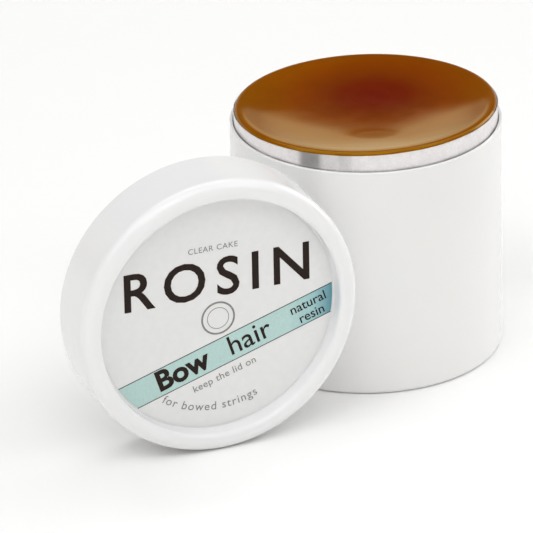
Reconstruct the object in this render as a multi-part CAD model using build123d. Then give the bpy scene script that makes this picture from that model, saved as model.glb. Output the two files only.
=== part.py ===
"""Cake of rosin for a bowed string instrument, in its pot, with the slip-on lid standing beside it.

Millimetres, +Z up. The origin is the centre of the pot's underside. The pot, the foil wrapper and
the cake share the Z axis. The lid stands on edge on the same table, with its axis along Y and its
face towards -Y, and its open back is just clear of the pot's wall.
"""
import os
from math import cos, pi, radians, sin, sqrt

from build123d import *

# Pot: a plain straight-sided cup with a thin rounded rim.
POT_HEIGHT = 39.2
POT_RADIUS = 22.0
POT_FLOOR = 1.2
POT_RIM_WALL = 0.5
POT_BASE_ROUNDING = 0.9
POT_RIM_ROUNDING = 0.2

# Cake and its foil. The cake stands proud of the rim, so that the bow hair reaches it, and its top
# set on a slight slope. The top is a dish that is level in the middle, climbs more and more steeply
# as it did against the wrapper when it was liquid, and rolls over a rounded lip.
CAKE_PROUD = 2.25
CAKE_TAPER = 0.8
CAKE_SLOPE = 2.0
CAKE_HIGH_SIDE = -73.0
DISH_STEEPEST = 0.185
DISH_POWER = 3.4
DISH_STEEPEST_SHARE = 0.9
LIP_CREST_SHARE = 0.975
LIP_RISE = 0.36
LIP_DROP = 0.47
FOIL_THICKNESS = 0.1
FOIL_GAP = 0.2

# Lid: a shallow cap with a raised ring round a recessed face. The ring is hollow behind.
LID_RADIUS = 23.2
LID_DEPTH = 10.9
LID_WALL = 1.0
LID_RING_WIDTH = 3.1
LID_SHOULDER_ROUNDING = 1.9
LID_RING_INNER_ROUNDING = 0.7
LID_GROOVE_ROUNDING = 0.4
LID_RECESS = 2.7
LID_RECESS_DRAFT = 0.1
LID_EDGE_ROUNDING = 0.25

# Label: a paper disc stuck in the lid's recess.
LABEL_THICKNESS = 0.12
LABEL_MARGIN = 0.1

# Where the lid stands beside the pot.
LID_OFFSET_X = -36.8
LID_TO_POT_GAP = 0.8

# How far the block that the cake is cut from, and the cutter over it, reach past the cake, and
# the points that carry the dish's curve.
CLEARANCE = 5.0
CUTTER_HEIGHT = 15.0
DISH_POINTS = 12

# Worked out from the values above.
BORE_RIM_RADIUS = POT_RADIUS - POT_RIM_WALL
FOIL_RIM_RADIUS = BORE_RIM_RADIUS - FOIL_GAP
CAKE_RIM_RADIUS = FOIL_RIM_RADIUS - FOIL_THICKNESS
FOIL_TOP = POT_HEIGHT + CAKE_PROUD
CAKE_FLOOR = POT_FLOOR + FOIL_THICKNESS
TALLER_THAN_CAKE = FOIL_TOP + CLEARANCE
WIDER_THAN_CAKE = POT_RADIUS + CLEARANCE
LID_BORE_RADIUS = LID_RADIUS - LID_WALL
LID_RECESS_RADIUS = LID_RADIUS - LID_RING_WIDTH
LID_RECESS_FLOOR_RADIUS = LID_RECESS_RADIUS - LID_RECESS_DRAFT


def cake_radius(z):
    """Radius of the cake's tapered side at height z."""
    return CAKE_RIM_RADIUS - CAKE_TAPER * (FOIL_TOP - z) / (FOIL_TOP - POT_FLOOR)


def sloped_top():
    """Placement of the cake's sloped top: its Z axis leans away from the high side."""
    lean = sin(radians(CAKE_SLOPE))
    towards = radians(CAKE_HIGH_SIDE)
    normal = (-lean * cos(towards), -lean * sin(towards), cos(radians(CAKE_SLOPE)))
    return Plane(origin=(0, 0, FOIL_TOP), z_dir=normal)


def profile(*points):
    """The face of a closed outline given as (radius, height) corners, in the XZ plane."""
    return make_face(Plane.XZ * Polyline(*points, close=True))


def corner(face, radius, height):
    """The vertex of an XZ face that is nearest to a (radius, height) point."""
    return face.vertices().sort_by_distance((radius, 0, height))[0]


def rounded(face, *corners):
    """The face with each (radius, height, rounding) corner rounded."""
    for radius, height, rounding in corners:
        face = fillet(corner(face, radius, height), rounding)
    return face


def turn(face):
    """The solid of revolution of an XZ face about the Z axis."""
    return revolve(face, Axis.Z, 360)


def make_pot():
    """The open cup: straight outside, slightly tapered inside, with a thin rounded rim."""
    bore_floor_radius = cake_radius(POT_FLOOR) + FOIL_THICKNESS + FOIL_GAP
    bore_rim_radius = cake_radius(POT_HEIGHT) + FOIL_THICKNESS + FOIL_GAP
    face = profile(
        (0, 0),
        (POT_RADIUS, 0),
        (POT_RADIUS, POT_HEIGHT),
        (bore_rim_radius, POT_HEIGHT),
        (bore_floor_radius, POT_FLOOR),
        (0, POT_FLOOR),
    )
    face = rounded(
        face,
        (POT_RADIUS, 0, POT_BASE_ROUNDING),
        (POT_RADIUS, POT_HEIGHT, POT_RIM_ROUNDING),
        (bore_rim_radius, POT_HEIGHT, POT_RIM_ROUNDING),
    )
    return turn(face)


def tapered_block(base, skin):
    """A tall round block on the cake's taper, standing on height base, grown outwards by skin."""
    face = profile(
        (0, base),
        (cake_radius(base) + skin, base),
        (cake_radius(TALLER_THAN_CAKE) + skin, TALLER_THAN_CAKE),
        (0, TALLER_THAN_CAKE),
    )
    return turn(face)


def make_foil_wrapper():
    """Thin foil round the cake's side and under its base, cut off along the sloped top."""
    shell = tapered_block(POT_FLOOR, FOIL_THICKNESS) - tapered_block(CAKE_FLOOR, 0)
    above = profile((0, 0), (WIDER_THAN_CAKE, 0), (WIDER_THAN_CAKE, CUTTER_HEIGHT), (0, CUTTER_HEIGHT))
    return shell - sloped_top().location * turn(above)


def dish_climb(share):
    """How far the dish has climbed from its middle, at a share of the cake's radius."""
    if share <= DISH_STEEPEST_SHARE:
        curve = DISH_STEEPEST_SHARE * (share / DISH_STEEPEST_SHARE) ** (DISH_POWER + 1)
        return DISH_STEEPEST * CAKE_RIM_RADIUS * curve / (DISH_POWER + 1)
    width = LIP_CREST_SHARE - DISH_STEEPEST_SHARE
    easing = (share - DISH_STEEPEST_SHARE) / width
    eased = width * (easing + sin(pi * easing) / pi) / 2
    return dish_climb(DISH_STEEPEST_SHARE) + DISH_STEEPEST * CAKE_RIM_RADIUS * eased


def dish_point(share):
    """The (radius, height) point of the dish at a share of the cake's radius."""
    height = LIP_RISE + dish_climb(share) - dish_climb(LIP_CREST_SHARE)
    return (share * CAKE_RIM_RADIUS, height)


def space_above_cake():
    """Everything above the cake's top: the dish's curve, then an arc down over the lip."""
    last = DISH_POINTS - 1
    dish = [dish_point(LIP_CREST_SHARE * sqrt(k / last)) for k in range(DISH_POINTS)]
    crest = dish[-1]
    reach = CAKE_RIM_RADIUS - crest[0]
    lip_radius = (reach**2 + LIP_DROP**2) / (2 * LIP_DROP)
    half_way = reach / 2
    half_drop = lip_radius - sqrt(lip_radius**2 - half_way**2)
    lip_middle = (crest[0] + half_way, crest[1] - half_drop)
    lip_end = (CAKE_RIM_RADIUS, crest[1] - LIP_DROP)
    outer = (WIDER_THAN_CAKE, lip_end[1] - (WIDER_THAN_CAKE - CAKE_RIM_RADIUS))
    outline = [
        Spline(*dish, tangents=[(1, 0), (1, 0)]),
        ThreePointArc(crest, lip_middle, lip_end),
        Polyline(lip_end, outer, (WIDER_THAN_CAKE, CUTTER_HEIGHT), (0, CUTTER_HEIGHT), dish[0]),
    ]
    edges = [edge for line in outline for edge in (Plane.XZ * line).edges()]
    return turn(make_face(edges))


def make_rosin_cake():
    """The cake: a tapered block with a sloped top that is dished inside a rounded lip."""
    return tapered_block(CAKE_FLOOR, 0) - sloped_top().location * space_above_cake()


def make_lid_upright():
    """The lid as it closes the pot: axis along Z, face up, crest of the ring at height 0."""
    plate_under = -LID_RECESS - LID_WALL
    groove_radius = LID_RECESS_RADIUS + LID_WALL - LID_RECESS_DRAFT
    face = profile(
        (0, -LID_RECESS),
        (LID_RECESS_FLOOR_RADIUS, -LID_RECESS),
        (LID_RECESS_RADIUS, 0),
        (LID_RADIUS, 0),
        (LID_RADIUS, -LID_DEPTH),
        (LID_BORE_RADIUS, -LID_DEPTH),
        (LID_BORE_RADIUS, -LID_WALL),
        (groove_radius, -LID_WALL),
        (groove_radius, plate_under),
        (0, plate_under),
    )
    face = rounded(
        face,
        (LID_RADIUS, 0, LID_SHOULDER_ROUNDING),
        (LID_RECESS_RADIUS, 0, LID_RING_INNER_ROUNDING),
        (LID_RECESS_FLOOR_RADIUS, -LID_RECESS, LID_EDGE_ROUNDING),
        (LID_BORE_RADIUS, -LID_WALL, LID_GROOVE_ROUNDING),
        (groove_radius, -LID_WALL, LID_GROOVE_ROUNDING),
        (groove_radius, plate_under, LID_EDGE_ROUNDING),
        (LID_RADIUS, -LID_DEPTH, LID_EDGE_ROUNDING),
        (LID_BORE_RADIUS, -LID_DEPTH, LID_EDGE_ROUNDING),
    )
    return turn(face)


def make_label_upright():
    """The paper disc on the floor of the lid's recess, in the upright lid's frame."""
    radius = LID_RECESS_FLOOR_RADIUS - LID_EDGE_ROUNDING - LABEL_MARGIN
    face = profile(
        (0, -LID_RECESS),
        (radius, -LID_RECESS),
        (radius, -LID_RECESS + LABEL_THICKNESS),
        (0, -LID_RECESS + LABEL_THICKNESS),
    )
    return turn(face)


def lid_back_y():
    """Y of the lid's open back, where its edge just clears the pot at the height of its axis."""
    reach = POT_RADIUS + LID_TO_POT_GAP
    nearest_x = LID_OFFSET_X + LID_RADIUS
    return -sqrt(reach**2 - nearest_x**2)


def stood_on_edge(part):
    """The part turned from the upright lid's frame to the lid standing beside the pot."""
    return Pos(LID_OFFSET_X, lid_back_y() - LID_DEPTH, LID_RADIUS) * Rot(90, 0, 0) * part


def main():
    nodes = {
        "pot": make_pot(),
        "foil_wrapper": make_foil_wrapper(),
        "rosin_cake": make_rosin_cake(),
        "lid": stood_on_edge(make_lid_upright()),
        "label": stood_on_edge(make_label_upright()),
    }
    os.makedirs("parts", exist_ok=True)
    for name, solid in nodes.items():
        export_step(solid, f"parts/{name}.step")


main()
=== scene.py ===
"""Looks of the rosin cake in its pot, with the lid beside it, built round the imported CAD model.

Every piece is placed from the CAD boxes. Lengths in the shape code are millimetres and are turned
into metres when a mesh is made.
"""

from math import atan2, cos, degrees, exp, pi, radians, sin, sqrt, tan

import bpy
from mathutils import Matrix, Vector, noise


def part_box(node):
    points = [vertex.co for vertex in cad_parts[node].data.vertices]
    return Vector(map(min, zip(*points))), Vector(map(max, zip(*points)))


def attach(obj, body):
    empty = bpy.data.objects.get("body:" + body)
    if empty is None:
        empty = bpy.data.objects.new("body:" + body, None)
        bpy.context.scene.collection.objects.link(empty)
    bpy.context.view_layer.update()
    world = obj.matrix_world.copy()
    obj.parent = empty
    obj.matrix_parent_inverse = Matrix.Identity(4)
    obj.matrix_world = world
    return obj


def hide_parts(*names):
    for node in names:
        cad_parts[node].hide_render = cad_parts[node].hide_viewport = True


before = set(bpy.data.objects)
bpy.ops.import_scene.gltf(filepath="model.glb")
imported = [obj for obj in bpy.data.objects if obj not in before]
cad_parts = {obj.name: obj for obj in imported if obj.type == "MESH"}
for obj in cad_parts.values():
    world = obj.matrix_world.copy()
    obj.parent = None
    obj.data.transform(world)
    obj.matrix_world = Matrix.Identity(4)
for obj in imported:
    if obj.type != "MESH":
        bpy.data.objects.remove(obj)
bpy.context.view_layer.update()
MM = 0.001


def box_mm(node):
    """Lowest and highest corner of a CAD node, in millimetres."""
    low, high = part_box(node)
    return low / MM, high / MM


POT_LOW, POT_HIGH = box_mm("pot")
LID_LOW, LID_HIGH = box_mm("lid")
LABEL_LOW, LABEL_HIGH = box_mm("label")
POT_RADIUS = (POT_HIGH.x - POT_LOW.x) / 2
POT_HEIGHT = POT_HIGH.z
LID_RADIUS = (LID_HIGH.x - LID_LOW.x) / 2
LID_DEPTH = LID_HIGH.y - LID_LOW.y
LID_X = (LID_HIGH.x + LID_LOW.x) / 2
LABEL_RADIUS = (LABEL_HIGH.x - LABEL_LOW.x) / 2
LABEL_THICKNESS = LABEL_HIGH.y - LABEL_LOW.y
LABEL_FACE = LABEL_LOW.y

# These repeat the CAD part's own values.
POT_FLOOR = 1.2
POT_BASE_ROUNDING = 0.9
POT_RIM_ROUNDING = 0.2
FOIL_TOP = 41.45
FOIL_THICKNESS = 0.1
FOIL_GAP = 0.2
CAKE_RIM_RADIUS = 21.2
CAKE_TAPER = 0.8
CAKE_SLOPE = 2.0
CAKE_HIGH_SIDE = -73.0
DISH_STEEPEST = 0.185
DISH_POWER = 3.4
DISH_STEEPEST_SHARE = 0.9
LIP_CREST_SHARE = 0.975
LIP_RISE = 0.36
LIP_DROP = 0.47
LID_WALL = 1.0
LID_RING_WIDTH = 3.1
LID_SHOULDER_ROUNDING = 1.9
LID_RING_INNER_ROUNDING = 0.7
LID_GROOVE_ROUNDING = 0.4
LID_RECESS = 2.7
LID_RECESS_DRAFT = 0.1
LID_EDGE_ROUNDING = 0.25

# Round pieces have this many sides, and a rounded corner this many steps and a loop on each side.
SIDES = 256
ROUNDING_STEPS = 10
ROUNDING_MARGIN = 0.05
SHARP_ANGLE = 35

# The cake: its base is slightly chamfered, and the rings of its top crowd towards the lip.
CAKE_BASE_INSET = 0.5
CAKE_CHAMFER_INSET = 0.05
CAKE_CHAMFER_HEIGHT = 0.6
CAKE_TOP_RINGS = 110
CAKE_RING_CROWDING = 1.35
DIMPLE_AT = (-3.95, -13.3)
DIMPLE_SIZE = (5.1, 2.9)
DIMPLE_DEPTH = 0.13
DULL_SPOT_AT = (-3.1, -11.3)
DULL_SPOT_SIZE = (4.2, 2.2)
UNEVEN_DEPTH = 0.006
UNEVEN_SIZE = 6
UNEVEN_LAYER = 3

# The foil. Pleats are where it was folded round the cake: (direction, half width, tone) in degrees. The
# tone is painted reflection: it darkens each pleat's colour to stand for the dark reflection of the lid's
# shaded inside, and the other pleats repeat it round the cake.
PLEATS_WITH_PAINTED_REFLECTION = (
    (-137.2, 4.9, 0.6),
    (-121.5, 2.4, 0.86),
    (-24, 6, 0.75),
    (38, 4, 0.62),
    (97, 7, 0.8),
    (156, 5, 0.65),
)
PLEAT_HEIGHT = 0.03
PAINTED_REFLECTION_EDGE = 0.0007
FOIL_RINGS = 24
FOIL_BASE_RISE = 0.6
FOIL_BASE_INSET = 0.6
FOIL_INNER_BASE_INSET = 0.5
FOIL_TO_CAKE = 0.02
FOIL_PRESSED_OUT = 0.1
FOIL_PRESSED_REACH = 3
FOIL_TRIMMED = 0.09
FOIL_TRIM_POWER = 8
CREASE_DEPTH = 0.035
CREASE_CONTRAST = 1.6
# Creases: (how many round the cake, length, layer, weight).
CREASES = ((9, 26, 0, 1.0), (24, 12, 5, 0.5))

# The label. Ink stands slightly proud of the paper.
LABEL_EDGE_LOOP = 0.1
LABEL_LOOPS = (0.8, 0.6, 0.4, 0.2)
INK_LIFT = 0.03
INK_ROOT = 0.002
BAND_LIFT = 0.015
BAND_TILT = 17.6
BAND_MIDDLE = -6.9
BAND_HALF = 2.35
BAND_MARGIN = 0.05
BAND_RULE_HALF = 0.06
BAND_ROWS = 8
BAND_STEPS = 24
BAND_TINT_REACH = 20
EMBLEM_AT = (0.2, -1.0)
EMBLEM_RINGS = ((2.55, 2.85), (1.75, 1.85))
EMBLEM_STEPS = 72
LETTER_CURVE_STEPS = 4
# Words on the band: (piece, words, size, weight, place along the band, place across it).
BAND_WORDS = (
    ("label_stripe_bold", "Bow", 5.0, 0.16, -8.3, 0.25),
    ("label_stripe_plain", "hair", 4.9, 0.02, 3.6, 0.25),
    ("label_stripe_upper", "natural", 2.3, 0.02, 14.3, 1.0),
    ("label_stripe_lower", "resin", 2.3, 0.02, 14.3, -1.15),
)

# Camera: a long lens looking down on the objects from the front left.
CAMERA_LENS = 410.04
CAMERA_AZIMUTH = -22.641
CAMERA_ELEVATION = 25.084
CAMERA_DISTANCE = 0.98873
CAMERA_AIM_HEIGHT = 0.0198
CAMERA_TURN_LEFT = 0.952
CAMERA_TURN_UP = -0.374
CAMERA_ROLL = 0.667
CAMERA_SENSOR = 36
CAMERA_CLIP = (0.01, 50)

# The sky's brightness at each elevation: a pale sweep round the horizon, a dark gap, a soft dome.
# One narrow strip of the sweep, behind the objects, is brighter.
SWEEP_TOP = 19.5
SWEEP_EDGE = 1.0
GAP_TOP = 45.0
GAP_EDGE = 4.0
SWEEP_LIGHT = 0.42
GAP_LIGHT = 0.03
DOME_LIGHT = 0.47
STRIP_LIGHT = 0.64
STRIP_AZIMUTH = 21.6
STRIP_HALF_WIDTH = 5.0
WHITE = (1, 1, 1)
SWEEP_TINT = (1, 0.95, 0.78)
STRIP_TINT = (1, 0.84, 0.44)

# Softboxes, aimed at the middle of the objects: (name, place, width and height, power), in metres.
AIM = (-0.01, 0, 0.02)
SOFTBOXES = (
    ("overhead", (-0.1, -0.5, 1.35), (0.8, 0.8), 2.2),
    ("front_left", (-0.3, -0.9, 1.1), (0.8, 0.8), 3.7),
    ("front_right", (0.7, -0.85, 1.0), (0.8, 0.8), 3.5),
    ("left", (-0.9, -0.2, 1.0), (1.0, 1.0), 4.8),
    ("upper_right", (0.9, 0.1, 1.0), (1.0, 1.0), 2.0),
    ("right", (1.4, 0.3, 0.45), (0.9, 0.8), 5.8),
    ("low_front", (0.1, -1.25, 0.3), (0.9, 0.3), 0.6),
    ("back", (0.1, 0.75, 1.5), (1.4, 0.6), 5.0),
    ("glint", (-1.35, -0.2, 0.42), (0.3, 0.7), 1.1),
)
FLOOR_HALF = 6
FLOOR_DROP = 0.00001


# ---------------------------------------------------------------- camera, light, floor


def add_object(name, data):
    ob = bpy.data.objects.new(name, data)
    bpy.context.scene.collection.objects.link(ob)
    return ob


def make_camera():
    data = bpy.data.cameras.new("camera")
    data.lens = CAMERA_LENS
    data.sensor_width = CAMERA_SENSOR
    data.clip_start, data.clip_end = CAMERA_CLIP
    ob = add_object("camera", data)
    azimuth = Matrix.Rotation(radians(CAMERA_AZIMUTH), 4, "Z")
    tilt = Matrix.Rotation(radians(90 - CAMERA_ELEVATION), 4, "X")
    back = Matrix.Translation((0, 0, CAMERA_DISTANCE))
    turn = Matrix.Rotation(radians(CAMERA_TURN_LEFT), 4, "Y")
    turn = turn @ Matrix.Rotation(radians(CAMERA_TURN_UP), 4, "X")
    turn = turn @ Matrix.Rotation(radians(-CAMERA_ROLL), 4, "Z")
    aim = Matrix.Translation((0, 0, CAMERA_AIM_HEIGHT))
    ob.matrix_world = aim @ azimuth @ tilt @ back @ turn
    bpy.context.scene.camera = ob


def link(tree, start, end):
    tree.links.new(start, end)


def sky_ramp(tree, height, *stops):
    """Light by elevation: stops are (degrees above the horizon, brightness, tint)."""
    ramp = tree.nodes.new("ShaderNodeValToRGB")
    link(tree, height, ramp.inputs[0])
    while len(ramp.color_ramp.elements) < len(stops):
        ramp.color_ramp.elements.new(0.5)
    for element, (elevation, light, tint) in zip(ramp.color_ramp.elements, stops):
        element.position = sin(radians(elevation))
        element.color = tuple(light * share for share in tint) + (1,)
    return ramp.outputs[0]


def sky_math(tree, operation, *values):
    """One vector sum in the sky: each value is a vector or the socket that it comes from."""
    node = tree.nodes.new("ShaderNodeVectorMath")
    node.operation = operation
    for socket, value in zip(node.inputs, values):
        if isinstance(value, tuple):
            socket.default_value = value
        else:
            link(tree, value, socket)
    return node.outputs["Value" if operation == "DOT_PRODUCT" else "Vector"]


def make_world():
    """The sky, with its brightness set by direction alone."""
    world = bpy.data.worlds.new("studio")
    world.use_nodes = True
    bpy.context.scene.world = world
    tree = world.node_tree
    tree.nodes.clear()
    direction = tree.nodes.new("ShaderNodeTexCoord").outputs["Generated"]
    split = tree.nodes.new("ShaderNodeSeparateXYZ")
    link(tree, direction, split.inputs[0])
    sky = sky_ramp(
        tree,
        split.outputs["Z"],
        (SWEEP_TOP - SWEEP_EDGE, SWEEP_LIGHT, SWEEP_TINT),
        (SWEEP_TOP + SWEEP_EDGE, GAP_LIGHT, WHITE),
        (GAP_TOP - GAP_EDGE, GAP_LIGHT, WHITE),
        (GAP_TOP + GAP_EDGE, DOME_LIGHT, WHITE),
    )
    sweep = sky_ramp(
        tree,
        split.outputs["Z"],
        (SWEEP_TOP - SWEEP_EDGE, 1, STRIP_TINT),
        (SWEEP_TOP + SWEEP_EDGE, 0, STRIP_TINT),
    )
    level = sky_math(tree, "NORMALIZE", sky_math(tree, "MULTIPLY", direction, (1, 1, 0)))
    towards = radians(STRIP_AZIMUTH)
    beside = sky_math(tree, "DOT_PRODUCT", level, (sin(towards), cos(towards), 0))
    strip = tree.nodes.new("ShaderNodeMapRange")
    link(tree, beside, strip.inputs["Value"])
    strip.inputs["From Min"].default_value = cos(radians(STRIP_HALF_WIDTH))
    strip.inputs["To Max"].default_value = STRIP_LIGHT
    glow = tree.nodes.new("ShaderNodeBackground")
    link(tree, sweep, glow.inputs["Color"])
    link(tree, strip.outputs["Result"], glow.inputs["Strength"])
    back = tree.nodes.new("ShaderNodeBackground")
    link(tree, sky, back.inputs["Color"])
    both = tree.nodes.new("ShaderNodeAddShader")
    link(tree, back.outputs[0], both.inputs[0])
    link(tree, glow.outputs[0], both.inputs[1])
    out = tree.nodes.new("ShaderNodeOutputWorld")
    link(tree, both.outputs[0], out.inputs["Surface"])


def make_softbox(name, place, size, power):
    data = bpy.data.lights.new(name, "AREA")
    data.shape = "RECTANGLE"
    data.size, data.size_y = size
    data.energy = power
    ob = add_object(name, data)
    ob.location = place
    direction = Vector(AIM) - Vector(place)
    ob.rotation_euler = direction.to_track_quat("-Z", "Y").to_euler()


def make_floor():
    mesh = bpy.data.meshes.new("floor")
    corners = [(-1, -1, 0), (1, -1, 0), (1, 1, 0), (-1, 1, 0)]
    mesh.from_pydata([Vector(corner) * FLOOR_HALF for corner in corners], [], [(0, 1, 2, 3)])
    ob = add_object("floor", mesh)
    ob.location.z = -FLOOR_DROP
    return ob


# ---------------------------------------------------------------- mesh code


def new_piece(name, vertices, faces, smooth=True):
    mesh = bpy.data.meshes.new(name)
    mesh.from_pydata([Vector(v) * MM for v in vertices], [], faces)
    mesh.validate()
    ob = add_object(name, mesh)
    if smooth:
        mesh.polygons.foreach_set("use_smooth", [True] * len(mesh.polygons))
        mesh.set_sharp_from_angle(angle=radians(SHARP_ANGLE))
    mesh.update()
    return ob


def rounded(corners):
    """An outline's points. Each corner is (radius, height, rounding), and arcs have loops beside them."""
    points = []
    for i, (x, y, r) in enumerate(corners):
        here = Vector((x, y))
        if r == 0:
            points.append(here)
            continue
        u = (Vector(corners[i - 1][:2]) - here).normalized()
        v = (Vector(corners[(i + 1) % len(corners)][:2]) - here).normalized()
        half = u.angle(v) / 2
        centre = here + (u + v).normalized() * r / sin(half)
        start, end = here + u * r / tan(half), here + v * r / tan(half)
        first, last = start - centre, end - centre
        a0 = atan2(first.y, first.x)
        sweep = (atan2(last.y, last.x) - a0 + pi) % (2 * pi) - pi
        points.append(start + u * ROUNDING_MARGIN)
        for k in range(ROUNDING_STEPS + 1):
            a = a0 + sweep * k / ROUNDING_STEPS
            points.append(centre + Vector((cos(a), sin(a))) * r)
        points.append(end + v * ROUNDING_MARGIN)
    return points


def lathe(name, points, place=Matrix.Identity(4), shape=None):
    """Turns an outline about the Z axis. shape(x, y, z, i) may move each vertex of outline point i."""
    vertices, rings = [], []
    for i, (r, z) in enumerate(points):
        if r < 1e-6:
            rings.append([len(vertices)])
            vertices.append((0, 0, z))
            continue
        rings.append(list(range(len(vertices), len(vertices) + SIDES)))
        for k in range(SIDES):
            a = 2 * pi * k / SIDES
            vertices.append((r * cos(a), r * sin(a), z))
        if shape:
            for v in rings[-1]:
                vertices[v] = shape(*vertices[v], i)
    faces = []
    for a, b in zip(rings, rings[1:]):
        for k in range(SIDES):
            j = (k + 1) % SIDES
            if len(a) == 1:
                faces.append((a[0], b[j], b[k]))
            elif len(b) == 1:
                faces.append((a[k], a[j], b[0]))
            else:
                faces.append((a[k], a[j], b[j], b[k]))
    return new_piece(name, [place @ Vector(v) for v in vertices], faces)


def stand_for(ob, body, slot, *nodes):
    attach(ob, body)
    if nodes:
        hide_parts(*nodes)


# ---------------------------------------------------------------- materials


class Paint:
    """A material with one Principled shader, and short calls for the nodes that feed it."""

    def __init__(self, name, **values):
        self.material = bpy.data.materials.new(name)
        self.material.use_nodes = True
        self.tree = self.material.node_tree
        self.shader = self.tree.nodes["Principled BSDF"]
        for key, value in values.items():
            self.shader.inputs[key.replace("_", " ")].default_value = value
        self.place = self.tree.nodes.new("ShaderNodeTexCoord").outputs["Object"]

    def node(self, kind, **values):
        node = self.tree.nodes.new(kind)
        for key, value in values.items():
            setattr(node, key, value)
        return node

    def vector(self, operation, source, value):
        """source and a constant vector, put through one vector operation."""
        node = self.node("ShaderNodeVectorMath", operation=operation)
        link(self.tree, source, node.inputs[0])
        node.inputs[1].default_value = value
        return node.outputs["Vector"]

    def split(self):
        """The X, Y and Z of the place on the object."""
        node = self.node("ShaderNodeSeparateXYZ")
        link(self.tree, self.place, node.inputs[0])
        return node.outputs

    def noise(self, size_mm, detail=3.0, roughness=0.5, stretch=None):
        """Noise whose features are about size_mm across."""
        node = self.node("ShaderNodeTexNoise")
        source = self.vector("MULTIPLY", self.place, stretch) if stretch else self.place
        link(self.tree, source, node.inputs["Vector"])
        node.inputs["Scale"].default_value = 1 / (size_mm * MM)
        node.inputs["Detail"].default_value = detail
        node.inputs["Roughness"].default_value = roughness
        return node.outputs["Fac"]

    def ramp(self, value, *stops):
        node = self.node("ShaderNodeValToRGB")
        while len(node.color_ramp.elements) < len(stops):
            node.color_ramp.elements.new(0.5)
        for element, (at, colour) in zip(node.color_ramp.elements, stops):
            element.position = at
            element.color = (*colour, 1)
        link(self.tree, value, node.inputs[0])
        return node.outputs[0]

    def spread(self, value, low, high, start=0.3, end=0.7):
        node = self.node("ShaderNodeMapRange")
        node.inputs["From Min"].default_value = start
        node.inputs["From Max"].default_value = end
        node.inputs["To Min"].default_value = low
        node.inputs["To Max"].default_value = high
        link(self.tree, value, node.inputs["Value"])
        return node.outputs["Result"]

    def mix(self, factor, a, b, blend="MIX"):
        node = self.node("ShaderNodeMix", data_type="RGBA", blend_type=blend)
        sockets = (node.inputs["Factor"], node.inputs[6], node.inputs[7])
        for socket, value in zip(sockets, (factor, a, b)):
            if isinstance(value, (int, float)):
                socket.default_value = value
            elif isinstance(value, tuple):
                socket.default_value = (*value, 1)
            else:
                link(self.tree, value, socket)
        return node.outputs[2]

    def times(self, a, b):
        return self.mix(1.0, a, b, blend="MULTIPLY")

    def mottle(self, low, high, size_mm, detail=3.0):
        """A colour that drifts between two tints."""
        return self.mix(self.spread(self.noise(size_mm, detail=detail), 0, 1), low, high)

    def bump(self, value, depth_mm, strength, under=None):
        node = self.node("ShaderNodeBump")
        node.inputs["Strength"].default_value = strength
        node.inputs["Distance"].default_value = depth_mm * MM
        link(self.tree, value, node.inputs["Height"])
        if under:
            link(self.tree, under, node.inputs["Normal"])
        return node.outputs["Normal"]

    def feed(self, key, source):
        link(self.tree, source, self.shader.inputs[key])

    def on(self, *obs):
        for ob in obs:
            ob.data.materials.clear()
            ob.data.materials.append(self.material)


def floor_white():
    paint = Paint("floor_white", Roughness=0.6)
    tints = ((0, (0.965, 0.965, 0.965)), (1, (0.975, 0.975, 0.975)))
    paint.feed("Base Color", paint.ramp(paint.noise(30), *tints))
    return paint


def moulded_white(name, tint, warm):
    """Glossy moulded polystyrene: faint flow marks, a soft waviness and fine handling scratches."""
    paint = Paint(name, Roughness=0.14, IOR=1.5)
    paint.feed("Base Color", paint.mottle(tint, warm, 9, detail=2))
    smudge = paint.noise(3.5, detail=4, roughness=0.6)
    paint.feed("Roughness", paint.spread(smudge, 0.10, 0.20))
    wave = paint.bump(paint.noise(7, detail=1), 0.03, 0.6)
    fine = paint.noise(0.18, detail=2)
    paint.feed("Normal", paint.bump(fine, 0.002, 0.5, under=wave))
    paint.shader.inputs["Subsurface Weight"].default_value = 0.08
    paint.shader.inputs["Subsurface Radius"].default_value = (1, 1, 1)
    paint.shader.inputs["Subsurface Scale"].default_value = 0.0012
    return paint


def painted_reflection_stops():
    """Painted reflection tone round the cake, from 0 to 1 of a turn that starts at -180 degrees."""
    stops = [(0, WHITE)]
    for middle, half, reflection_tone in PLEATS_WITH_PAINTED_REFLECTION:
        start, end = (middle - half + 180) / 360, (middle + half + 180) / 360
        painted_dark = (reflection_tone, reflection_tone, reflection_tone)
        stops += [(start - PAINTED_REFLECTION_EDGE, WHITE), (start + PAINTED_REFLECTION_EDGE, painted_dark)]
        stops += [(end - PAINTED_REFLECTION_EDGE, painted_dark), (end + PAINTED_REFLECTION_EDGE, WHITE)]
    return stops


def foil_metal():
    """Rolled aluminium foil. Its pleats are painted darker: a painted reflection of the lid's shaded
    inside, repeated round the cake.
    """
    paint = Paint("foil_metal", Metallic=1.0, Roughness=0.3)
    place = paint.split()
    angle = paint.node("ShaderNodeMath", operation="ARCTAN2")
    link(paint.tree, place["Y"], angle.inputs[0])
    link(paint.tree, place["X"], angle.inputs[1])
    # painted reflection: the pleats darken the foil's colour where it reflects the lid's shaded inside
    pleats = paint.ramp(paint.spread(angle.outputs[0], 0, 1, -pi, pi), *painted_reflection_stops())
    plain = paint.mottle((0.735, 0.71, 0.71), (0.81, 0.79, 0.79), 1.5)
    grain = paint.spread(paint.noise(0.22, detail=2), 0.93, 1.05)
    paint.feed("Base Color", paint.times(paint.times(plain, pleats), grain))
    paint.feed("Roughness", paint.spread(paint.noise(0.8, detail=4), 0.28, 0.42))
    paint.feed("Normal", paint.bump(paint.noise(0.5, detail=3, stretch=(1, 1, 0.5)), 0.012, 0.6))
    return paint


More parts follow.
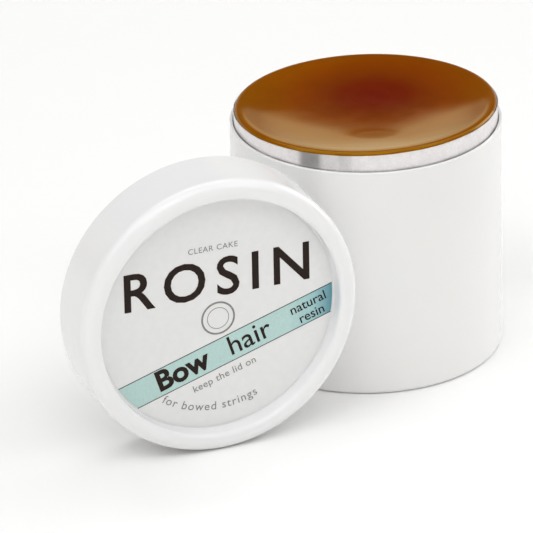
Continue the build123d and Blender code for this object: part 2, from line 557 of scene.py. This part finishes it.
def offset_length(paint, middle, size):
    """Distance from a point of the cake's top, in millimetres, with each axis divided by size."""
    shift = paint.vector("SUBTRACT", paint.place, (middle[0] * MM, middle[1] * MM, 0))
    turned = paint.node("ShaderNodeVectorRotate", rotation_type="Z_AXIS")
    link(paint.tree, shift, turned.inputs["Vector"])
    turned.inputs["Angle"].default_value = radians(-CAMERA_AZIMUTH)
    scaled = paint.vector("MULTIPLY", turned.outputs[0], (1 / (size[0] * MM), 1 / (size[1] * MM), 0))
    length = paint.node("ShaderNodeVectorMath", operation="LENGTH")
    link(paint.tree, scaled, length.inputs[0])
    return length.outputs["Value"]


def rosin_resin():
    """Clear amber resin: deep red where it is thick, golden towards the side, with a cast gloss."""
    paint = Paint("rosin_resin", Roughness=0.03, IOR=1.54, Specular_Tint=(1, 0.85, 0.05, 1))
    base = paint.ramp(
        offset_length(paint, (3.3, 4.1), (26.5, 26.5)),
        (0.0, (0.160, 0.006, 0.0)),
        (0.20, (0.166, 0.014, 0.0)),
        (0.30, (0.186, 0.028, 0.0)),
        (0.40, (0.212, 0.038, 0.0)),
        (0.50, (0.232, 0.048, 0.0)),
        (0.60, (0.243, 0.061, 0.0)),
        (0.80, (0.252, 0.075, 0.0)),
        (1.0, (0.262, 0.082, 0.0)),
    )
    cloud = paint.spread(paint.noise(5, detail=3), 0.94, 1.06)
    paint.feed("Base Color", paint.times(base, cloud))
    gloss = paint.spread(paint.noise(2.5, detail=4), 0.05, 0.08)
    spot = paint.spread(offset_length(paint, DULL_SPOT_AT, DULL_SPOT_SIZE), 0.2, 0, 0.6, 1.0)
    rough = paint.node("ShaderNodeMath", operation="MAXIMUM")
    link(paint.tree, gloss, rough.inputs[0])
    link(paint.tree, spot, rough.inputs[1])
    paint.feed("Roughness", rough.outputs[0])
    paint.feed("Normal", paint.bump(paint.noise(0.35, detail=3), 0.0015, 0.5))
    return paint


def coated_paper():
    paint = Paint("coated_paper", Roughness=0.5)
    paint.feed("Base Color", paint.mottle((0.782, 0.782, 0.784), (0.807, 0.807, 0.808), 1.2, detail=5))
    paint.feed("Normal", paint.bump(paint.noise(0.12, detail=4), 0.004, 0.6))
    return paint


def stripe_ink():
    """Pale green ink that deepens to blue at the right-hand end of the band."""
    paint = Paint("stripe_ink", Roughness=0.45)
    ends = ((LID_X - BAND_TINT_REACH) * MM, (LID_X + BAND_TINT_REACH) * MM)
    tint = paint.ramp(
        paint.spread(paint.split()["X"], 0, 1, *ends),
        (0, (0.47, 0.66, 0.63)),
        (0.8, (0.47, 0.66, 0.64)),
        (0.91, (0.33, 0.56, 0.58)),
        (1, (0.06, 0.25, 0.33)),
    )
    speck = paint.spread(paint.noise(0.25, detail=3), 0.94, 1.05)
    paint.feed("Base Color", paint.times(tint, speck))
    paint.feed("Normal", paint.bump(paint.noise(0.12, detail=4), 0.004, 0.5))
    return paint


def brown_ink():
    paint = Paint("brown_ink", Roughness=0.6, Specular_IOR_Level=0.2)
    paint.feed("Base Color", paint.mottle((0.012, 0.005, 0.003), (0.022, 0.010, 0.006), 0.4))
    return paint


def grey_ink():
    paint = Paint("grey_ink", Roughness=0.5)
    paint.feed("Base Color", paint.mottle((0.18, 0.18, 0.17), (0.28, 0.27, 0.26), 0.3))
    return paint


# ---------------------------------------------------------------- the pot


def cake_radius(z):
    """Radius of the cake's tapered side at height z."""
    return CAKE_RIM_RADIUS - CAKE_TAPER * (FOIL_TOP - z) / (FOIL_TOP - POT_FLOOR)


def make_pot():
    skin = FOIL_THICKNESS + FOIL_GAP
    floor_radius = cake_radius(POT_FLOOR) + skin
    rim_radius = cake_radius(POT_HEIGHT) + skin
    points = rounded(
        [
            (0, 0, 0),
            (POT_RADIUS, 0, POT_BASE_ROUNDING),
            (POT_RADIUS, POT_HEIGHT, POT_RIM_ROUNDING),
            (rim_radius, POT_HEIGHT, POT_RIM_ROUNDING),
            (floor_radius, POT_FLOOR, 0),
            (0, POT_FLOOR, 0),
        ]
    )
    ob = lathe("pot_shell", points)
    stand_for(ob, "pot", "pot_plastic", "pot")
    return ob


# ---------------------------------------------------------------- the cake and its foil


def slope_height(x, y):
    """How far the sloped top is above or below its height at the axis."""
    towards = radians(CAKE_HIGH_SIDE)
    return tan(radians(CAKE_SLOPE)) * (x * cos(towards) + y * sin(towards))


def dish_climb(share):
    """How far the dish has climbed from its middle, at a share of the cake's radius."""
    if share <= DISH_STEEPEST_SHARE:
        curve = DISH_STEEPEST_SHARE * (share / DISH_STEEPEST_SHARE) ** (DISH_POWER + 1)
        return DISH_STEEPEST * CAKE_RIM_RADIUS * curve / (DISH_POWER + 1)
    width = LIP_CREST_SHARE - DISH_STEEPEST_SHARE
    easing = (share - DISH_STEEPEST_SHARE) / width
    eased = width * (easing + sin(pi * easing) / pi) / 2
    return dish_climb(DISH_STEEPEST_SHARE) + DISH_STEEPEST * CAKE_RIM_RADIUS * eased


def top_profile(r):
    """Height of the cake's top over its sloped plane: level, a climbing dish, then a rounded lip."""
    share = r / CAKE_RIM_RADIUS
    if share <= LIP_CREST_SHARE:
        return LIP_RISE + dish_climb(share) - dish_climb(LIP_CREST_SHARE)
    reach = (1 - LIP_CREST_SHARE) * CAKE_RIM_RADIUS
    lip = (reach**2 + LIP_DROP**2) / (2 * LIP_DROP)
    out = min(r - LIP_CREST_SHARE * CAKE_RIM_RADIUS, reach)
    return LIP_RISE - lip + sqrt(lip**2 - out**2)


def top_dents(x, y):
    """A shallow dimple left as the resin set, and a very slight unevenness."""
    a = radians(CAMERA_AZIMUTH)
    dx, dy = x - DIMPLE_AT[0], y - DIMPLE_AT[1]
    u = (dx * cos(a) + dy * sin(a)) / DIMPLE_SIZE[0]
    v = (-dx * sin(a) + dy * cos(a)) / DIMPLE_SIZE[1]
    uneven = UNEVEN_DEPTH * noise.noise(Vector((x, y, UNEVEN_LAYER)) / UNEVEN_SIZE)
    return uneven - DIMPLE_DEPTH * exp(-u * u - v * v)


def make_cake():
    base = POT_FLOOR + FOIL_THICKNESS
    base_radius = cake_radius(POT_FLOOR)
    points = [
        Vector((0, base)),
        Vector((base_radius - CAKE_BASE_INSET, base)),
        Vector((base_radius - CAKE_CHAMFER_INSET, POT_FLOOR + CAKE_CHAMFER_HEIGHT)),
    ]
    top_from = len(points)
    for k in range(CAKE_TOP_RINGS + 1):
        points.append(Vector((CAKE_RIM_RADIUS * (1 - (k / CAKE_TOP_RINGS) ** CAKE_RING_CROWDING), 0)))
    points[-1] = Vector((0, FOIL_TOP + top_profile(0)))

    def shape(x, y, z, i):
        if i < top_from:
            return (x, y, z)
        return (x, y, FOIL_TOP + slope_height(x, y) + top_profile(sqrt(x * x + y * y)) + top_dents(x, y))

    ob = lathe("rosin_block", points, shape=shape)
    stand_for(ob, "cake", "rosin", "rosin_cake")
    return ob


def in_pleat(angle):
    """True on a pleat, for an angle in degrees."""
    return any(abs((angle - middle + 180) % 360 - 180) < half for middle, half, reflection_tone in PLEATS_WITH_PAINTED_REFLECTION)


def crease_depth(angle, z):
    """How far the foil's soft creases push it out at a direction and height."""
    crease = 0
    for count, length, layer, weight in CREASES:
        where = Vector((cos(angle) * count, sin(angle) * count, z / length + layer))
        crease += weight * noise.noise(where)
    return CREASE_DEPTH * max(-1, min(1, crease * CREASE_CONTRAST))


def make_foil():
    """Thin foil pressed round the cake: upright pleats, soft creases and a cut top edge."""
    base_radius = cake_radius(POT_FLOOR)
    inner_base = POT_FLOOR + FOIL_THICKNESS
    first = POT_FLOOR + FOIL_BASE_RISE
    heights = [first + (FOIL_TOP - first) * k / FOIL_RINGS for k in range(FOIL_RINGS + 1)]
    points = [Vector((0, POT_FLOOR)), Vector((base_radius + FOIL_THICKNESS - FOIL_BASE_INSET, POT_FLOOR))]
    start = len(points)
    points += [Vector((cake_radius(z) + FOIL_THICKNESS, z)) for z in heights]
    inner_from = len(points)
    points += [Vector((cake_radius(z) + FOIL_TO_CAKE, z)) for z in reversed(heights)]
    end = len(points)
    points.append(Vector((base_radius - FOIL_INNER_BASE_INSET, inner_base)))
    points.append(Vector((0, inner_base)))

    def shape(x, y, z, i):
        if i < start or i >= end:
            return (x, y, z)
        share = (z - POT_FLOOR) / (FOIL_TOP - POT_FLOOR)
        angle = atan2(y, x)
        out = crease_depth(angle, z)
        if i < inner_from:
            out += PLEAT_HEIGHT * in_pleat(degrees(angle))
            out += FOIL_PRESSED_OUT * max(0, 1 - abs(z - POT_HEIGHT) / FOIL_PRESSED_REACH)
        grow = 1 + out / sqrt(x * x + y * y)
        z += slope_height(x, y) * share - FOIL_TRIMMED * share**FOIL_TRIM_POWER
        return (x * grow, y * grow, z)

    ob = lathe("foil_cup", points, shape=shape)
    stand_for(ob, "cake", "foil", "foil_wrapper")
    return ob


# ---------------------------------------------------------------- the lid and its label


def lid_place():
    """From the upright lid's frame, face up with the ring's crest at height 0, to where it stands."""
    return Matrix.Translation((LID_X, LID_LOW.y, LID_LOW.z + LID_RADIUS)) @ Matrix.Rotation(pi / 2, 4, "X")


def make_lid():
    recess_radius = LID_RADIUS - LID_RING_WIDTH
    floor_radius = recess_radius - LID_RECESS_DRAFT
    bore_radius = LID_RADIUS - LID_WALL
    groove_radius = recess_radius + LID_WALL - LID_RECESS_DRAFT
    under = -LID_RECESS - LID_WALL
    points = rounded(
        [
            (0, under, 0),
            (groove_radius, under, LID_EDGE_ROUNDING),
            (groove_radius, -LID_WALL, LID_GROOVE_ROUNDING),
            (bore_radius, -LID_WALL, LID_GROOVE_ROUNDING),
            (bore_radius, -LID_DEPTH, LID_EDGE_ROUNDING),
            (LID_RADIUS, -LID_DEPTH, LID_EDGE_ROUNDING),
            (LID_RADIUS, 0, LID_SHOULDER_ROUNDING),
            (recess_radius, 0, LID_RING_INNER_ROUNDING),
            (floor_radius, -LID_RECESS, LID_EDGE_ROUNDING),
            (0, -LID_RECESS, 0),
        ]
    )
    ob = lathe("lid_shell", points, place=lid_place())
    stand_for(ob, "lid", "lid_plastic", "lid")
    return ob


def make_label():
    back = -LID_RECESS
    face = back + LABEL_THICKNESS
    points = [Vector((0, back)), Vector((LABEL_RADIUS, back))]
    points += [Vector((LABEL_RADIUS, face)), Vector((LABEL_RADIUS - LABEL_EDGE_LOOP, face))]
    points += [Vector((LABEL_RADIUS * share, face)) for share in LABEL_LOOPS]
    points.append(Vector((0, face)))
    ob = lathe("paper_label", points, place=lid_place())
    stand_for(ob, "lid", "label_paper", "label")
    return ob


def on_label(x, y, lift=INK_LIFT):
    """A point on the label: x to the right and y up from its centre, seen from the front."""
    return Vector((LID_X + x, LABEL_FACE - lift, LID_LOW.z + LID_RADIUS + y))


def make_ink(name, loops):
    """Thin ink patches: each loop is a list of (x, y) corners of one convex patch."""
    vertices, faces = [], []
    for loop in loops:
        n = len(vertices)
        vertices += [on_label(x, y) for x, y in loop]
        vertices += [on_label(x, y, INK_ROOT) for x, y in loop]
        m = len(loop)
        faces.append(tuple(range(n, n + m)))
        faces.append(tuple(range(n + 2 * m - 1, n + m - 1, -1)))
        for k in range(m):
            j = (k + 1) % m
            faces.append((n + k, n + m + k, n + m + j, n + j))
    ob = new_piece(name, vertices, faces, smooth=False)
    stand_for(ob, "lid", "label_paper")
    return ob


def band_point(s, t):
    """s along the band, t across it from its middle."""
    a = radians(BAND_TILT)
    t += BAND_MIDDLE
    return (s * cos(a) - t * sin(a), s * sin(a) + t * cos(a))


def chord(t):
    """Half the band's length at t across it from its middle."""
    radius = LABEL_RADIUS - BAND_MARGIN
    t += BAND_MIDDLE
    return sqrt(radius * radius - t * t)


def make_band():
    """The coloured band across the label, as one sheet."""
    vertices, faces = [], []
    for i in range(BAND_ROWS + 1):
        t = -BAND_HALF + 2 * BAND_HALF * i / BAND_ROWS
        for k in range(BAND_STEPS + 1):
            s = -1 + 2 * k / BAND_STEPS
            vertices.append(on_label(*band_point(chord(t) * s, t), BAND_LIFT))
    for i in range(BAND_ROWS):
        for k in range(BAND_STEPS):
            n = i * (BAND_STEPS + 1) + k
            faces.append((n, n + 1, n + BAND_STEPS + 2, n + BAND_STEPS + 1))
    ob = new_piece("label_stripe", vertices, faces, smooth=False)
    stand_for(ob, "lid", "label_paper")
    return ob


def make_band_rules():
    """A thin line along each edge of the band."""
    lines = []
    for t in (-BAND_HALF, BAND_HALF):
        reach, low, high = chord(t), t - BAND_RULE_HALF, t + BAND_RULE_HALF
        ends = ((-reach, low), (reach, low), (reach, high), (-reach, high))
        lines.append([band_point(*end) for end in ends])
    return make_ink("label_stripe_rules", lines)


def make_words(name, text, size, weight=0.0, spacing=1.0, centre=(0, 0), tilt=0.0, arc=None):
    """Plain lettering on the label. arc bends it along the label's lower edge, at that radius."""
    data = bpy.data.curves.new(name, "FONT")
    data.body = text
    data.size = size
    data.align_x = "CENTER"
    data.offset = weight
    data.space_character = spacing
    data.resolution_u = LETTER_CURVE_STEPS
    temp = add_object(name + "_text", data)
    bpy.context.view_layer.update()
    evaluated = temp.evaluated_get(bpy.context.evaluated_depsgraph_get())
    mesh = bpy.data.meshes.new_from_object(evaluated)
    bpy.data.objects.remove(temp)
    xs = [v.co.x for v in mesh.vertices]
    ys = [v.co.y for v in mesh.vertices]
    mid_x, mid_y = (min(xs) + max(xs)) / 2, (min(ys) + max(ys)) / 2
    a = radians(tilt)
    for v in mesh.vertices:
        x, y = v.co.x - mid_x, v.co.y - mid_y
        if arc:
            turn = x / arc + a
            x, y = (arc - y) * sin(turn), -(arc - y) * cos(turn)
        else:
            x, y = x * cos(a) - y * sin(a) + centre[0], x * sin(a) + y * cos(a) + centre[1]
        v.co = on_label(x, y) * MM
    mesh.name = name
    ob = add_object(name, mesh)
    stand_for(ob, "lid", "label_paper")
    return ob


def make_emblem():
    """A plain double ring."""
    loops = []
    for inner, outer in EMBLEM_RINGS:
        for k in range(EMBLEM_STEPS):
            a, b = 2 * pi * k / EMBLEM_STEPS, 2 * pi * (k + 1) / EMBLEM_STEPS
            corners = ((inner, a), (outer, a), (outer, b), (inner, b))
            loops.append([(EMBLEM_AT[0] + r * cos(t), EMBLEM_AT[1] + r * sin(t)) for r, t in corners])
    return make_ink("label_ring", loops)


def print_label():
    """The band and the words on the label."""
    band = make_band()
    rules = make_band_rules()
    stripe_ink().on(band)
    dark = brown_ink()
    dark.on(rules)
    dark.on(make_words("label_title", "ROSIN", 9.2, weight=0.12, spacing=1.3, centre=(0.2, 6.1)))
    for name, text, size, weight, along, across in BAND_WORDS:
        centre = band_point(along, across)
        dark.on(make_words(name, text, size, weight=weight, centre=centre, tilt=BAND_TILT))
    grey = grey_ink()
    grey.on(make_emblem())
    grey.on(make_words("label_small_top", "CLEAR CAKE", 1.35, centre=(-0.4, 11.3), spacing=1.1))
    grey.on(make_words("label_small_bottom", "for bowed strings", 2.0, arc=16.4, spacing=1.15, tilt=-6))
    line = make_words(
        "label_small_line", "keep the lid on", 1.75, centre=(1.1, -11.2), spacing=1.05, tilt=BAND_TILT
    )
    grey.on(line)


# ---------------------------------------------------------------- building it all


def main():
    make_camera()
    make_world()
    for softbox in SOFTBOXES:
        make_softbox(*softbox)
    floor_white().on(make_floor())
    moulded_white("pot_polystyrene", (0.842, 0.840, 0.842), (0.850, 0.846, 0.842)).on(make_pot())
    moulded_white("lid_polystyrene", (0.846, 0.848, 0.862), (0.856, 0.856, 0.866)).on(make_lid())
    foil_metal().on(make_foil())
    rosin_resin().on(make_cake())
    coated_paper().on(make_label())
    print_label()

    bpy.context.scene.view_settings.view_transform = "Standard"


main()
